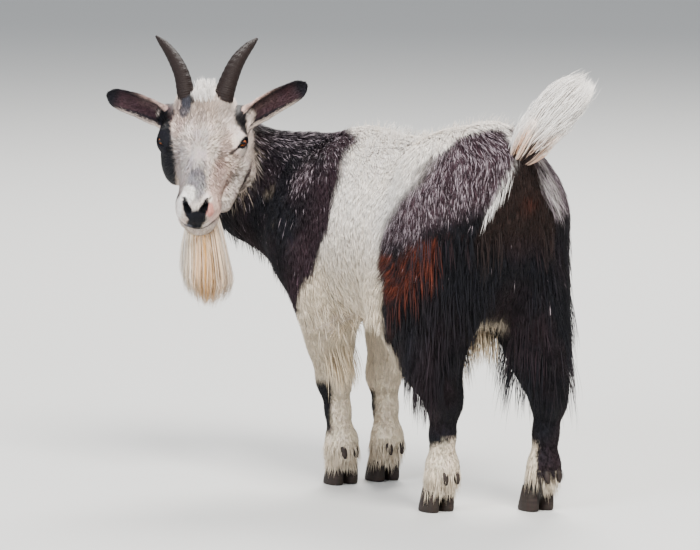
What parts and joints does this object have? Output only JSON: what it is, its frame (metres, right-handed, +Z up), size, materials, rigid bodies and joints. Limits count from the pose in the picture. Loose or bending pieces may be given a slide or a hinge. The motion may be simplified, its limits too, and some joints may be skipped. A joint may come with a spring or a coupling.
{
  "type": "pygmy goat",
  "caption": "Standing pygmy goat, life size, head turned back over its left side, horned, bearded, tail raised.",
  "frame": {"origin": "on the ground below the middle of the goat's bounding box", "axes": "+Z up; the goat faces -Y and its left side is +X; its head is turned back over its left side"},
  "size_m": [0.3849, 0.7294, 0.6168],
  "materials": {
    "coat": "hair coat, cream-white with black and grey-brown patches",
    "eye": "glossy amber eye with a dark slot pupil",
    "horn": "dark ringed horn, satin",
    "hoof": "dark hoof horn, worn"
  },
  "bodies": {
    "root": {"trunk": "coat", "neck": "coat", "head": "coat", "ear_left": "coat", "ear_right": "coat", "beard": "coat", "tail": "coat", "fore_left_leg": "coat", "fore_left_shank": "coat", "fore_right_leg": "coat", "fore_right_shank": "coat", "hind_left_leg": "coat", "hind_left_shank": "coat", "hind_right_leg": "coat", "hind_right_shank": "coat", "eye_left": "eye", "eye_right": "eye", "horn_left": "horn", "horn_right": "horn", "fore_left_claw_inner": "hoof", "fore_left_claw_outer": "hoof", "fore_right_claw_inner": "hoof", "fore_right_claw_outer": "hoof", "hind_left_claw_inner": "hoof", "hind_left_claw_outer": "hoof", "hind_right_claw_inner": "hoof", "hind_right_claw_outer": "hoof"}
  },
  "joints": []
}
